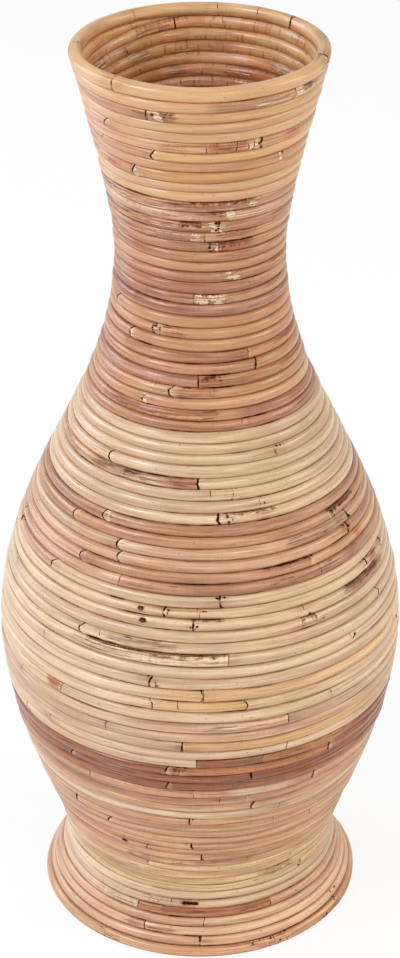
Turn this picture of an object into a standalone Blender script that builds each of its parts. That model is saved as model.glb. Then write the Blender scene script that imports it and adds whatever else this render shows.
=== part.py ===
"""Rattan vase, wound from round canes.

One continuous left-handed spiral of canes, butted end to end, runs from a level rim of thicker canes
down to a level foot cane. A plain disc inside the lowest rows closes the bottom.

Metres, +Z up. The origin is on the floor at the middle of the foot. The front of the vase faces -Y,
and angles round the vase are counted from there, to the right.
"""

import math

import bmesh
import bpy
import numpy as np
from mathutils import Vector

OBJECT_NAME = "rattan_vase"

# The outside of the vase, from the floor to the lip.
# The stations keep their share of the height. Diameters are taken over the canes.
HEIGHT = 0.600
WAIST_HEIGHT = 0.067 * HEIGHT
HIP_HEIGHT = 0.12 * HEIGHT
BOWL_HEIGHT = 0.22 * HEIGHT
BELLY_HEIGHT = 0.34 * HEIGHT
SHOULDER_HEIGHT = 0.50 * HEIGHT
THROAT_HEIGHT = 0.66 * HEIGHT
NECK_HEIGHT = 0.783 * HEIGHT
FLARE_HEIGHT = 0.91 * HEIGHT
FOOT_DIAMETER = 0.2142
WAIST_DIAMETER = 0.1840
HIP_DIAMETER = 0.1970
BOWL_DIAMETER = 0.2388
BELLY_DIAMETER = 0.2624
SHOULDER_DIAMETER = 0.2192
THROAT_DIAMETER = 0.1328
NECK_DIAMETER = 0.1066
FLARE_DIAMETER = 0.1316
LIP_DIAMETER = 0.1570

# The canes, and the clearances that keep touching pieces apart.
WALL_CANE_DIAMETER = 0.00655
RIM_CANE_DIAMETER = 0.0078
FOOT_CANE_DIAMETER = 0.0070
FOOT_FLAT_DEPTH = 0.0006
ROW_GAP = 0.0005
BUTT_GAP = 0.0003

# The disc that closes the bottom.
BASE_THICKNESS = 0.009
BASE_RECESS = 0.002
BASE_CLEARANCE = 0.0005

# Counts. A bevel of resolution 1 gives a cane its six sides.
CANE_SIDES = 6
BEVEL_RESOLUTION = 1
HALF_SIDE_ANGLE = math.pi / CANE_SIDES
POINTS_PER_TURN = 16
RIM_POINTS_PER_TURN = 32
SAMPLES_PER_SPAN = 60

# The spiral starts and ends at the back, where each end is scarfed thin over a few points.
# The rows next to the rim and the foot run level, and drop one row in that scarf.
BACK_STEP = POINTS_PER_TURN // 2
SCARF_STEPS = 3
LEVEL_ROWS = 10

# How thick the canes are down to each row, as a share of the mean: stout round the belly, thin at the waist.
# The rows keep their proportions when another size gives the wall more or fewer of them.
CANE_SIZES = (
    (12, 1.04),
    (18, 0.97),
    (27, 1.05),
    (33, 0.97),
    (48, 1.02),
    (57, 1.10),
    (63, 0.98),
    (72, 1.00),
    (78, 0.91),
    (86, 0.87),
)

# Joints of the rim, counted in rim points from the front to the right.
# Every joint of two canes is halfway between a point and the next, where the cane is straight.
RIM_LENGTHS = (
    ("rim_cane_front", -4, 6),
    ("rim_cane_right", 6, 11),
    ("rim_cane_back", 11, 23),
    ("rim_cane_left", 23, 28),
)

# Colour and roughness of each kind of cane, and of the disc.
FINISHES = {
    "honey": ((0.64, 0.38, 0.16), 0.34),
    "rose": ((0.56, 0.29, 0.16), 0.36),
    "mottled": ((0.42, 0.20, 0.11), 0.42),
    "straw": ((0.78, 0.58, 0.33), 0.32),
    "dusty_rose": ((0.63, 0.37, 0.24), 0.36),
    "umber": ((0.27, 0.12, 0.07), 0.38),
    "tan": ((0.60, 0.35, 0.19), 0.36),
    "khaki": ((0.66, 0.47, 0.24), 0.36),
    "plywood": ((0.52, 0.36, 0.20), 0.65),
}

# The wall's canes from the rim down: their finish, and the turn of the spiral where each one ends.
# The turns keep their proportions when another size gives the wall more or fewer rows.
WALL_CANES = (
    ("rose", 0.62),
    ("honey", 4.56),
    ("honey", 10.0),
    ("mottled", 13.5),
    ("rose", 17.0),
    ("rose", 19.5),
    ("rose", 22.44),
    ("honey", 24.56),
    ("rose", 26.5),
    ("honey", 29.0),
    ("rose", 31.0),
    ("straw", 34.0),
    ("mottled", 35.5),
    ("straw", 38.5),
    ("straw", 39.0),
    ("dusty_rose", 41.44),
    ("dusty_rose", 43.38),
    ("dusty_rose", 45.0),
    ("straw", 47.5),
    ("straw", 50.5),
    ("straw", 53.5),
    ("straw", 56.56),
    ("straw", 58.5),
    ("straw", 60.5),
    ("umber", 62.56),
    ("umber", 64.0),
    ("tan", 66.56),
    ("straw", 68.0),
    ("tan", 69.38),
    ("tan", 72.5),
    ("tan", 74.5),
    ("tan", 76.44),
    ("khaki", 79.62),
    ("khaki", 82.44),
    ("umber", 82.56),
    ("rose", 84.44),
    ("rose", 85.5),
    ("rose", 86.12),
)


def corner(thickness):
    """Centre to corner of a six-sided cane whose flat sides are this far apart."""
    return thickness / 2 / math.cos(HALF_SIDE_ANGLE)


def corner_reach(bend):
    """How much further a cane's corners reach towards the next row, where the wall bends in between."""
    turned = min(abs(bend) / 2, HALF_SIDE_ANGLE)
    return math.cos(HALF_SIDE_ANGLE - turned) / math.cos(HALF_SIDE_ANGLE)


def round_the_vase(radius, height, share_of_turn):
    """A place on the vase, counted from the front to the right."""
    angle = 2 * math.pi * share_of_turn
    return Vector((radius * math.sin(angle), -radius * math.cos(angle), height))


def wall_stations():
    """Centre line of the canes at each station, as (radius, height) from the foot up."""
    stations = [(FOOT_DIAMETER / 2 - corner(FOOT_CANE_DIAMETER), FOOT_CANE_DIAMETER / 2 - FOOT_FLAT_DEPTH)]
    for height, diameter in (
        (WAIST_HEIGHT, WAIST_DIAMETER),
        (HIP_HEIGHT, HIP_DIAMETER),
        (BOWL_HEIGHT, BOWL_DIAMETER),
        (BELLY_HEIGHT, BELLY_DIAMETER),
        (SHOULDER_HEIGHT, SHOULDER_DIAMETER),
        (THROAT_HEIGHT, THROAT_DIAMETER),
        (NECK_HEIGHT, NECK_DIAMETER),
        (FLARE_HEIGHT, FLARE_DIAMETER),
    ):
        stations.append((diameter / 2 - corner(WALL_CANE_DIAMETER), height))
    rim_reach = corner(RIM_CANE_DIAMETER)
    stations.append((LIP_DIAMETER / 2 - rim_reach, HEIGHT - rim_reach))
    return np.array(stations)


def smooth_curve(knots):
    """Natural cubic spline through the knots, as closely spaced points."""
    spans = np.hypot(*np.diff(knots, axis=0).T)
    last = len(knots) - 1
    system = np.eye(last + 1)
    bends = np.zeros_like(knots)
    for i in range(1, last):
        system[i, i - 1 : i + 2] = spans[i - 1], 2 * (spans[i - 1] + spans[i]), spans[i]
        bends[i] = 6 * ((knots[i + 1] - knots[i]) / spans[i] - (knots[i] - knots[i - 1]) / spans[i - 1])
    bends = np.linalg.solve(system, bends)
    points = []
    for i in range(last):
        for b in np.arange(SAMPLES_PER_SPAN) / SAMPLES_PER_SPAN:
            a = 1 - b
            bow = (a**3 - a) * bends[i] + (b**3 - b) * bends[i + 1]
            points.append(a * knots[i] + b * knots[i + 1] + bow * spans[i] ** 2 / 6)
    points.append(knots[last])
    return np.array(points)


class Wall:
    """The wall's centre line, read by how far down from the rim cane's middle it is."""

    def __init__(self):
        line = smooth_curve(wall_stations())[::-1]
        self.radii, self.heights = line.T
        steps = np.hypot(np.diff(self.radii), np.diff(self.heights))
        self.falls = np.concatenate([[0.0], np.cumsum(steps)])
        self.leans = np.arctan2(-np.gradient(self.radii), -np.gradient(self.heights))
        self.length = self.falls[-1]

    def at(self, fall):
        """Radius, height and outward lean of the wall."""
        return [np.interp(fall, self.falls, values) for values in (self.radii, self.heights, self.leans)]

    def inside_radius(self, height):
        """Radius of the free space inside the canes at a height."""
        reach = corner(max(WALL_CANE_DIAMETER, FOOT_CANE_DIAMETER))
        inner_radii = self.radii - reach * np.cos(self.leans)
        inner_heights = self.heights + reach * np.sin(self.leans)
        return np.interp(height, inner_heights[::-1], inner_radii[::-1])


class Spiral:
    """The rows of the wall between the rim cane and the foot cane, one unbroken left-handed spiral."""

    def __init__(self, wall):
        self.wall = wall
        self.top = (RIM_CANE_DIAMETER + ROW_GAP) / 2
        run = wall.length - self.top - (FOOT_CANE_DIAMETER + ROW_GAP) / 2
        self.rows = int(run / (WALL_CANE_DIAMETER + ROW_GAP))
        self.mean_row = run / self.rows
        last_rows, sizes = np.array(CANE_SIZES).T
        depths = np.cumsum(np.diff(last_rows, prepend=0) * sizes)
        self.zone_rows = np.concatenate([[0.0], last_rows / last_rows[-1] * self.rows])
        self.zone_falls = self.top + np.concatenate([[0.0], depths / depths[-1] * run])
        self.last_step = self.rows * POINTS_PER_TURN + SCARF_STEPS - 1

    def upper_edge(self, step):
        """Rows between the rim and the upper edge of the spiral, so many points along it."""
        turn, rest = divmod(step, POINTS_PER_TURN)
        if turn < 1:
            return 0.0
        if turn > self.rows:
            return float(self.rows)
        from_an_end = min(turn - 1, self.rows - turn)
        level = max(1 - from_an_end / LEVEL_ROWS, 0.0)
        in_the_scarf = min(rest / SCARF_STEPS, 1.0)
        all_the_way_round = rest / POINTS_PER_TURN
        return turn - 1 + level * in_the_scarf + (1 - level) * all_the_way_round

    def fall(self, step):
        """How far below the rim cane's middle that edge is, measured down the wall."""
        return np.interp(self.upper_edge(step), self.zone_rows, self.zone_falls)

    def point(self, step):
        """Place, thickness and lean of the cane, so many points along the spiral."""
        upper = self.fall(step)
        lower = self.fall(step + POINTS_PER_TURN)
        radius, height, lean = self.wall.at((upper + lower) / 2)
        place = round_the_vase(radius, height, (step + BACK_STEP) / POINTS_PER_TURN)
        bend = self.wall.at(lower)[2] - self.wall.at(upper)[2]
        return place, (lower - upper - ROW_GAP) / corner_reach(bend), lean

    def least_gap(self):
        """Smallest space between a row and the next one, corner to side."""
        gaps = []
        for step in range(1, self.last_step - POINTS_PER_TURN):
            place, thickness, lean = self.point(step)
            place_below, thickness_below, lean_below = self.point(step + POINTS_PER_TURN)
            reach = (thickness + thickness_below) / 2 * corner_reach(lean_below - lean)
            gaps.append((place_below - place).length - reach)
        return min(gaps)

    def joints(self):
        """The point before each cane's lower end."""
        turns = np.array([turn for _, turn in WALL_CANES])
        return np.floor(turns / turns[-1] * self.last_step).astype(int).tolist()


def finish_material(finish):
    """One plain material for each kind of finish, made when it is first asked for."""
    material = bpy.data.materials.get(finish)
    if material is None:
        colour, roughness = FINISHES[finish]
        material = bpy.data.materials.new(finish)
        material.use_nodes = True
        shader = material.node_tree.nodes["Principled BSDF"]
        shader.inputs["Base Color"].default_value = (*colour, 1.0)
        shader.inputs["Roughness"].default_value = roughness
        shader.inputs["Metallic"].default_value = 0.0
    return material


def length_of_cane(point_at, before, last):
    """The points of a cane that starts halfway past one point and ends halfway past another."""
    ends = []
    for step in (before, last):
        here, after = point_at(step), point_at(step + 1)
        ends.append([(one + other) / 2 for one, other in zip(here, after)])
    return [ends[0], *[point_at(step) for step in range(before + 1, last + 1)], ends[1]]


def add_cane(name, points, finish, collection):
    """A cane bent along its points, with square ends that keep half a butt gap from the next cane."""
    places = [place.copy() for place, _, _ in points]
    places[0] += (places[1] - places[0]).normalized() * BUTT_GAP / 2
    places[-1] += (places[-2] - places[-1]).normalized() * BUTT_GAP / 2
    curve = bpy.data.curves.new(name, "CURVE")
    curve.dimensions = "3D"
    curve.twist_mode = "Z_UP"
    curve.bevel_depth = 1.0
    curve.bevel_resolution = BEVEL_RESOLUTION
    curve.use_fill_caps = True
    spline = curve.splines.new("POLY")
    spline.points.add(len(places) - 1)
    for spot, place, (_, thickness, lean) in zip(spline.points, places, points):
        spot.co = (*place, 1.0)
        spot.radius = corner(thickness)
        spot.tilt = lean
    curve.materials.append(finish_material(finish))
    cane = bpy.data.objects.new(name, curve)
    collection.objects.link(cane)
    return cane


def add_wall(spiral, collection):
    """The wall's canes, each from the end of the one before it."""
    before = 0
    for number, ((finish, _), joint) in enumerate(zip(WALL_CANES, spiral.joints()), 1):
        points = length_of_cane(spiral.point, before, joint)
        add_cane(f"wall_cane_{number:02d}", points, finish, collection)
        before = joint


def add_rim(wall, collection):
    """The level ring of four thicker canes at the lip."""
    radius, height, lean = wall.at(0.0)

    def rim_point(step):
        return round_the_vase(radius, height, step / RIM_POINTS_PER_TURN), RIM_CANE_DIAMETER, lean

    for name, before, joint in RIM_LENGTHS:
        add_cane(name, length_of_cane(rim_point, before, joint), "honey", collection)


def add_foot(wall, collection, cutters):
    """The level ring that the vase stands on, with its underside cut flat at the floor."""
    radius, height, lean = wall.at(wall.length)

    def foot_point(step):
        return round_the_vase(radius, height, step / POINTS_PER_TURN), FOOT_CANE_DIAMETER, lean

    points = length_of_cane(foot_point, BACK_STEP, BACK_STEP + POINTS_PER_TURN)
    curve = add_cane("foot_cane_curve", points, "rose", collection)
    foot = as_mesh(curve, "foot_cane", collection)

    bpy.ops.mesh.primitive_cube_add(size=2 * FOOT_DIAMETER, location=(0, 0, -FOOT_DIAMETER))
    floor = bpy.context.object
    floor.name = "floor_cutter"
    move_to(floor, cutters)
    floor.hide_render = True
    floor.display_type = "WIRE"
    cut = foot.modifiers.new("cut level with the floor", "BOOLEAN")
    cut.operation = "DIFFERENCE"
    cut.solver = "MANIFOLD"
    cut.object = floor


def add_base(wall, collection):
    """The disc inside the lowest rows, with its edge sloped like the wall."""
    lower_radius, upper_radius = [
        wall.inside_radius(height) - BASE_CLEARANCE for height in (BASE_RECESS, BASE_RECESS + BASE_THICKNESS)
    ]
    bpy.ops.mesh.primitive_cone_add(
        vertices=POINTS_PER_TURN,
        radius1=lower_radius,
        radius2=upper_radius,
        depth=BASE_THICKNESS,
        location=(0, 0, BASE_RECESS + BASE_THICKNESS / 2),
    )
    base = bpy.context.object
    base.name = "base_disc"
    base.data.materials.append(finish_material("plywood"))
    move_to(base, collection)


def as_mesh(curve, name, collection):
    """A mesh object in a curve's place, with its end caps welded on."""
    bpy.context.view_layer.update()
    evaluated = curve.evaluated_get(bpy.context.evaluated_depsgraph_get())
    mesh = bpy.data.meshes.new_from_object(evaluated)
    shape = bmesh.new()
    shape.from_mesh(mesh)
    bmesh.ops.remove_doubles(shape, verts=shape.verts, dist=ROW_GAP / 100)
    bmesh.ops.recalc_face_normals(shape, faces=shape.faces)
    shape.to_mesh(mesh)
    shape.free()
    piece = bpy.data.objects.new(name, mesh)
    piece.matrix_world = curve.matrix_world
    collection.objects.link(piece)
    bpy.data.objects.remove(curve)
    return piece


def move_to(piece, collection):
    """Take a new object out of the scene's own collection and put it into this one."""
    for holder in piece.users_collection:
        holder.objects.unlink(piece)
    collection.objects.link(piece)


def main():
    for old in list(bpy.data.objects):
        bpy.data.objects.remove(old)
    collection = bpy.data.collections.new(OBJECT_NAME)
    cutters = bpy.data.collections.new(OBJECT_NAME + "_cutters")
    bpy.context.scene.collection.children.link(collection)
    bpy.context.scene.collection.children.link(cutters)

    wall = Wall()
    spiral = Spiral(wall)
    add_rim(wall, collection)
    add_wall(spiral, collection)
    add_foot(wall, collection, cutters)
    add_base(wall, collection)
    print(f"{spiral.rows} rows, {spiral.mean_row * 1000:.2f} mm from row to row on average")
    print(f"least gap of the spiral to itself: {spiral.least_gap() * 1000:.2f} mm")


main()
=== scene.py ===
# %% [markdown]
# A floor vase wound from rattan canes. The wall is one long left-handed spiral of canes, butted end to
# end. A ring of thicker cane makes the lip, and a level ring makes the foot. The solids of the part give
# every size and place, so the lesson starts by loading them, and each new piece is then modelled where
# its solid is.

# %% Load the frame
import math
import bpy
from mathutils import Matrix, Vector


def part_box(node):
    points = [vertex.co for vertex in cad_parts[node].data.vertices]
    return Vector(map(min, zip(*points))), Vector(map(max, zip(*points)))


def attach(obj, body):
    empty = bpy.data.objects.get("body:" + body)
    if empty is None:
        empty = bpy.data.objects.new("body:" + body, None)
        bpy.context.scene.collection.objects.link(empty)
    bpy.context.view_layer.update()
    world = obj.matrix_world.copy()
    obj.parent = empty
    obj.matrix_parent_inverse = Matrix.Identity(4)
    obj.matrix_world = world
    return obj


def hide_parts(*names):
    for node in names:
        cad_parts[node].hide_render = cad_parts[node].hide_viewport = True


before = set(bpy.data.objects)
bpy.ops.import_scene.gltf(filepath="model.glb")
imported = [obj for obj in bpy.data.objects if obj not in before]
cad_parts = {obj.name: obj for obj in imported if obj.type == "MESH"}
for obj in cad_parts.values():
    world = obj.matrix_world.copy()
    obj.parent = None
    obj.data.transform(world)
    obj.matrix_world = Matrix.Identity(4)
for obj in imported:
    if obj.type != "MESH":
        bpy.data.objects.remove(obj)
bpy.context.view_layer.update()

from types import SimpleNamespace

import bmesh
import bpy
import numpy as np
from mathutils import Vector

scene = bpy.context.scene

# %% [markdown]
# The camera comes first, because every later choice is checked through it. It looks down at the vase from
# well above the lip, about two metres away, so the mouth shows as an ellipse and the foot seems smaller
# than it is. A long lens keeps the sides of the vase from bulging.

# %% Camera
CAMERA_PLACE = (0.0, -1.530, 1.1515)
CAMERA_TILT = 61.04
CAMERA_LENS = 101.96
SENSOR_WIDTH = 36.0

lens = bpy.data.cameras.new("camera")
lens.lens = CAMERA_LENS
lens.sensor_width = SENSOR_WIDTH
camera = bpy.data.objects.new("camera", lens)
camera.location = CAMERA_PLACE
camera.rotation_euler = (math.radians(CAMERA_TILT), 0.0, 0.0)
scene.collection.objects.link(camera)
scene.camera = camera
print("camera", CAMERA_PLACE, "tilted", CAMERA_TILT)

# %% [markdown]
# The wall is a turned shape, so one curve from the lip to the foot describes it: the middle line of the
# canes, as radius over height. A Bezier curve could be drawn by eye, but a natural cubic spline through
# the same stations as the solids gives exactly their wall. The spline is read by the distance down from
# the lip.

# %% The wall's middle line
HEIGHT = 0.600
WALL_CANE = 0.00655
RIM_CANE = 0.0078
FOOT_CANE = 0.0070
ROW_GAP = 0.0005
FOOT_FLAT = 0.0006
STATIONS = (
    # share of the height, and the diameter over the canes there
    (0.067, 0.1840),
    (0.12, 0.1970),
    (0.22, 0.2388),
    (0.34, 0.2624),
    (0.50, 0.2192),
    (0.66, 0.1328),
    (0.783, 0.1066),
    (0.91, 0.1316),
)
FOOT_DIAMETER = 0.2142
LIP_DIAMETER = 0.1570
HEXAGON = 1 / math.cos(math.pi / 6)
SAMPLES = 60


def spline_through(knots):
    """Points of a natural cubic spline through the knots."""
    spans = np.hypot(*np.diff(knots, axis=0).T)
    last = len(knots) - 1
    system = np.eye(last + 1)
    bends = np.zeros_like(knots)
    for i in range(1, last):
        system[i, i - 1 : i + 2] = spans[i - 1], 2 * (spans[i - 1] + spans[i]), spans[i]
        bends[i] = 6 * ((knots[i + 1] - knots[i]) / spans[i] - (knots[i] - knots[i - 1]) / spans[i - 1])
    bends = np.linalg.solve(system, bends)
    points = []
    for i in range(last):
        for b in np.arange(SAMPLES) / SAMPLES:
            a = 1 - b
            bow = (a**3 - a) * bends[i] + (b**3 - b) * bends[i + 1]
            points.append(a * knots[i] + b * knots[i + 1] + bow * spans[i] ** 2 / 6)
    points.append(knots[last])
    return np.array(points)


knots = [(FOOT_DIAMETER / 2 - FOOT_CANE / 2 * HEXAGON, FOOT_CANE / 2 - FOOT_FLAT)]
knots += [(width / 2 - WALL_CANE / 2 * HEXAGON, share * HEIGHT) for share, width in STATIONS]
knots += [(LIP_DIAMETER / 2 - RIM_CANE / 2 * HEXAGON, HEIGHT - RIM_CANE / 2 * HEXAGON)]
wall_radii, wall_heights = spline_through(np.array(knots))[::-1].T
wall_leans = np.arctan2(-np.gradient(wall_radii), -np.gradient(wall_heights))
wall_falls = np.concatenate([[0.0], np.cumsum(np.hypot(np.diff(wall_radii), np.diff(wall_heights)))])
wall_length = wall_falls[-1]


def wall_at(fall):
    """Radius, height and lean of the wall, so far down from the lip."""
    return [np.interp(fall, wall_falls, values) for values in (wall_radii, wall_heights, wall_leans)]


print("the wall is", round(wall_length, 4), "m from the lip down to the foot")

# %% [markdown]
# The rows. A place on the spiral is counted in turns from the back of the lip: turn 20.5 is the front of
# row 20. The rows next to the lip and the foot run level and drop one row at the back, where the first
# and the last cane are pared down to a thin scarf. Real canes differ in thickness: they are stout round
# the belly and thin at the waist. A slow wave of a few tenths of a millimetre keeps the grooves from
# looking ruled.

# %% Rows of the spiral
CANE_SIZES = (
    # last row of a zone, and how thick its canes are
    (12, 1.04), (18, 0.97), (27, 1.05), (33, 0.97), (48, 1.02), (57, 1.10), (63, 0.98), (72, 1.00),
    (78, 0.91), (86, 0.87),
)
LEVEL_ROWS = 10
SCARF = 3 / 16
EDGE_WAVE = 0.035
STILL_ROWS = 1.5

rim_edge = (RIM_CANE + ROW_GAP) / 2
run = wall_length - rim_edge - (FOOT_CANE + ROW_GAP) / 2
ROWS = int(run / (WALL_CANE + ROW_GAP))
last_rows, sizes = np.array(CANE_SIZES).T
depths = np.cumsum(np.diff(last_rows, prepend=0) * sizes)
zone_rows = np.concatenate([[0.0], last_rows])
zone_falls = np.concatenate([[0.0], depths / depths[-1] * run])


def waves(values, seed, count=6, longest=1.0):
    """A smooth random line between about -1 and 1, made of a few sine waves."""
    draw = np.random.default_rng(seed)
    total = np.zeros_like(values)
    for i in range(count):
        length = longest / (1 + 0.9 * i)
        total += np.sin(math.tau * (values / length + draw.random())) / count**0.5
    return total


def row_edge(turns):
    """How far below the lip's ring the upper edge of the spiral is."""
    turn = np.floor(turns)
    rest = turns - turn
    level = np.clip(1 - np.minimum(turn - 1, ROWS - turn) / LEVEL_ROWS, 0, 1)
    scarf = np.clip(rest / SCARF, 0, 1)
    scarf = scarf * scarf * (3 - 2 * scarf)
    rows = turn - 1 + level * scarf + (1 - level) * rest
    free = np.clip(np.minimum(rows, ROWS - rows) / STILL_ROWS, 0, 1)
    rows = rows + EDGE_WAVE * free * waves(turns, seed=3, longest=2.7)
    return np.interp(rows, zone_rows, zone_falls)


def turn_of(row, angle):
    """The place on the spiral at a row and an angle in degrees, counted from the front to the right."""
    return row + 0.5 + angle / 360


print(ROWS, "rows of about", round(run / ROWS * 1000, 2), "mm")

# %% [markdown]
# Grooves. The canes are pulled tight, so a row presses on the next one, hardest round the neck and the
# shoulder. In some places two rows stand a little apart, and the dark inside of the vase shows between
# them; the edges of the canes along such a groove get painted shade. The places are sorted by how far
# the groove stands open, where 1 is a true gap and the others are narrow gaps that show as thin lines
# of painted shade. Each place is the row below the groove and two angles.

# %% Grooves between the rows
OPEN_GROOVES = {
    1.0: (
        (20, -56, -8), (24, -50, -26), (26, -2, 19), (30, 19, 38), (35, -38, -2), (39, -10, -3),
        (39, 8, 36), (43, 19, 39), (43, 47, 62), (44, -8, 11), (46, -29, -23), (55, 5, 15), (72, -7, -3),
    ),
    0.8: (
        (10, -60, -30), (10, -8, 36), (11, 24, 36), (12, -12, 3), (25, -69, -55), (27, 0, 24),
        (36, -67, -44), (39, -34, -12), (39, -1, 6), (40, -49, -37), (40, -34, -10), (40, 50, 71),
        (47, -25, -13), (47, 55, 68), (50, -35, -24), (81, 22, 57), (82, -51, -25), (83, -25, 4),
        (85, -7, 0), (86, -1, 11), (86, 30, 52),
    ),
    0.6: (
        (5, -24, -14), (11, -22, -6), (12, -50, -30), (14, 5, 36), (22, 45, 62), (25, -10, 2),
        (28, -19, -4), (29, -32, -25), (31, -48, -37), (31, -22, 7), (31, 29, 45), (36, -44, 0),
        (37, 14, 48), (38, -15, 2), (39, 37, 50), (42, -38, -15), (43, -41, -33), (44, -40, -28),
        (47, -5, 7), (48, -49, -38), (48, -35, -19), (48, -15, -1), (49, 29, 36), (50, -20, 10),
        (52, -37, -16), (54, -20, 1), (55, -21, -12), (55, 15, 35), (56, 25, 37), (58, -15, -5),
        (58, 6, 31), (60, -1, 25), (78, -30, 8), (78, 10, 28), (78, 40, 50), (79, -44, -5), (79, -5, 41),
        (81, -40, 20), (82, -25, -8), (82, 31, 56), (84, -26, -20),
    ),
    0.4: (
        (2, 5, 32), (7, -8, 16), (13, -12, -5), (13, 16, 45), (18, 30, 60), (19, 36, 62), (20, 12, 22),
        (23, -42, -10), (24, 5, 36), (25, 5, 34), (33, 10, 38), (34, -8, 12), (36, 3, 12), (41, -6, 3),
        (45, 2, 40), (46, -16, 6), (47, 30, 42), (49, -25, -2), (51, -21, -5), (53, -31, -14),
        (57, -35, -25), (57, 12, 25), (61, -12, -4), (63, -60, -15), (77, -9, 6), (80, -20, 40),
        (83, -66, -30), (85, 12, 40),
    ),
}
OPEN_GAP = 0.0007
LOWER_SHARE = 0.6
RISING = np.array([0.0, 0.0, 1.0])
PRESSES = (
    # row, and how far its cane is pressed into the next one
    (0, 0.00030), (9, 0.00030), (12, 0.00008), (29, 0.00010), (32, 0.00030), (44, 0.00028),
    (46, 0.00007), (86, 0.00004),
)
press_rows, press_depths = np.array(PRESSES).T


def open_room(turns):
    """How far the groove above a row stands open, from 0 to 1."""
    room = np.zeros_like(turns)
    for width, places in OPEN_GROOVES.items():
        for row, first, last in places:
            first, last = turn_of(row, first), turn_of(row, last)
            share = np.clip((turns - first) / (last - first), 0, 1)
            within = (share > 0) * (share < 1)
            room = np.maximum(room, width * np.sin(math.pi * share) ** 0.5 * within)
    return room * np.clip(0.85 + 0.5 * waves(turns, seed=8, longest=0.09), 0, 1)


def spiral_at(turns):
    """Radius, height, lean and thickness of the spiral's cane, and how far open its two grooves are."""
    above, below = open_room(turns), open_room(turns + 1)
    upper = row_edge(turns) + LOWER_SHARE * OPEN_GAP * above
    lower = row_edge(turns + 1) - (1 - LOWER_SHARE) * OPEN_GAP * below
    press = np.interp(turns, press_rows, press_depths)
    return [*wall_at(rim_edge + (upper + lower) / 2), lower - upper + press, above, below]


def girth_at(turn):
    """The length of one turn of the spiral."""
    return math.tau * spiral_at(np.array([turn]))[0][0]


def around(turns, leans):
    """Unit vectors away from the axis, out of the wall and up along it."""
    angles = math.tau * (turns - 0.5)
    radial = np.stack([np.sin(angles), -np.cos(angles), 0 * angles], axis=-1)
    out = radial * np.cos(leans)[:, None] - RISING * np.sin(leans)[:, None]
    up = RISING * np.cos(leans)[:, None] + radial * np.sin(leans)[:, None]
    return radial, out, up


def off_axis(radial, radii, heights):
    """Places at the given distances from the axis and heights."""
    return radial * radii[:, None] + RISING * heights[:, None]


print(sum(len(places) for places in OPEN_GROOVES.values()), "open grooves")

# %% [markdown]
# Colours. Rattan is never one colour: peeled lengths are pale straw, older ones honey, and lengths that
# kept some of their skin are rose or umber. They are named here once, as they would be picked from a
# screen, and turned into the linear values that shaders expect.

# %% Shades of rattan
SHADES = {
    "honey": (208, 166, 123),
    "gold": (210, 167, 115),
    "rosy_honey": (195, 145, 106),
    "fawn": (209, 163, 125),
    "rose": (187, 136, 102),
    "deep_rose": (182, 133, 106),
    "straw": (215, 186, 153),
    "gold_straw": (221, 185, 139),
    "peach": (211, 174, 143),
    "dusty_rose": (188, 141, 108),
    "umber": (158, 92, 53),
    "rust": (191, 120, 66),
    "tan": (204, 159, 121),
    "pink_tan": (206, 164, 131),
    "khaki": (221, 188, 146),
    "brown": (183, 120, 67),
    "mottled": (198, 145, 107),
    "ash": (221, 192, 160),
    "pale": (230, 198, 164),
    "lip": (213, 171, 124),
    "ochre": (200, 152, 97),
    "russet": (184, 131, 90),
    "blush": (229, 189, 157),
}


def linear(shade):
    """A shade as a shader reads it."""
    channels = np.array(shade) / 255
    return np.where(channels < 0.04045, channels / 12.92, ((channels + 0.055) / 1.055) ** 2.4)


print(len(SHADES), "shades")

# %% [markdown]
# Which shade starts where. Each entry is a row, an angle and the shade of the cane from there on, down
# the spiral. The changes at the front are butted joints of two lengths or a cane that turns colour; those
# at the back are chosen so that each row meets the next one. A shade also says how mottled its cane is.

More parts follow.
